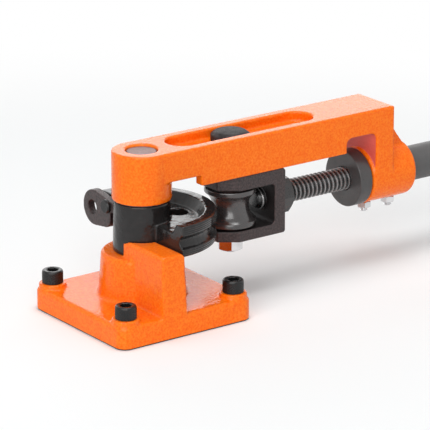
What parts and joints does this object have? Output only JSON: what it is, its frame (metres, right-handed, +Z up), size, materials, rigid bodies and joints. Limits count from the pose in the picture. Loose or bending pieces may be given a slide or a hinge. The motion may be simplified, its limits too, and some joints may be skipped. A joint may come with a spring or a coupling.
{
  "type": "tube bender",
  "caption": "Bench tube bender: a swinging slotted arm rolls a screw-adjusted grooved roller round a fixed half die, with a hinged tube latch and a bolt-down base.",
  "frame": {"origin": "where the pivot axis meets the underside of the base", "axes": "+Z up along the pivot axis; +X from the pivot along the arm to the handle, at rest; the reaction wall stands on the -Y side"},
  "size_m": [0.5295, 0.1278, 0.1292],
  "materials": {
    "orange_enamel": "gloss enamel over a cast skin",
    "black_enamel": "gloss black enamel on cast iron",
    "black_screws": "black oxide, slightly oily",
    "black_forging": "matt black oxide with a fine grain",
    "black_turned": "black oxide on turned steel",
    "black_thread": "black oxide with brighter thread crests",
    "black_bolt": "dark grey oxide, satin",
    "roller_steel": "polished dark steel",
    "grey_tube": "matt dark grey",
    "bare_steel": "turned steel",
    "zinc_plate": "bright zinc plating"
  },
  "bodies": {
    "base": {"base_casting": "orange_enamel", "mounting_screws": "black_screws", "center_shaft": "bare_steel", "shaft_screw": "black_screws", "bending_die": "black_enamel", "pivot_washer": "zinc_plate", "latch_pin": "black_screws"},
    "latch": {"tube_latch": "black_forging"},
    "arm": {"arm_casting": "orange_enamel", "handle_tube": "grey_tube", "handle_set_screws": "zinc_plate", "set_screw_nuts": "zinc_plate", "adjuster_washer": "bare_steel"},
    "carriage": {"yoke": "black_forging", "lead_screw": "black_thread", "yoke_lock_nut": "black_thread", "roller_bolt": "black_bolt", "roller_nut": "zinc_plate", "roller_sleeve": "bare_steel", "roller_washers": "bare_steel"},
    "adjuster": {"adjusting_nut": "black_turned"},
    "roller": {"forming_roller": "roller_steel"}
  },
  "joints": [
    {"name": "arm_swing", "type": "hinge", "parent": "base", "child": "arm", "pos_m": [0, 0, 0.11], "axis": [0, 0, 1], "range_deg": [-95, 75]},
    {"name": "nut_turn", "type": "hinge", "parent": "arm", "child": "adjuster", "pos_m": [0.1985, 0, 0.0704], "axis": [1, 0, 0], "range_deg": [-4950, 180]},
    {"name": "carriage_slide", "type": "slide", "parent": "arm", "child": "carriage", "axis": [1, 0, 0], "range_m": [-0.002, 0.055]},
    {"name": "roller_spin", "type": "hinge", "parent": "carriage", "child": "roller", "pos_m": [0.0815, 0, 0.0704], "axis": [0, 0, 1], "continuous": true},
    {"name": "latch_swing", "type": "hinge", "parent": "base", "child": "latch", "pos_m": [0, 0.0365, 0.0759], "axis": [1, 0, 0], "range_deg": [0, 28]}
  ],
  "couplings": [
    {"joint": "nut_turn", "follows": "carriage_slide", "rad_per_m": -1570.8}
  ]
}
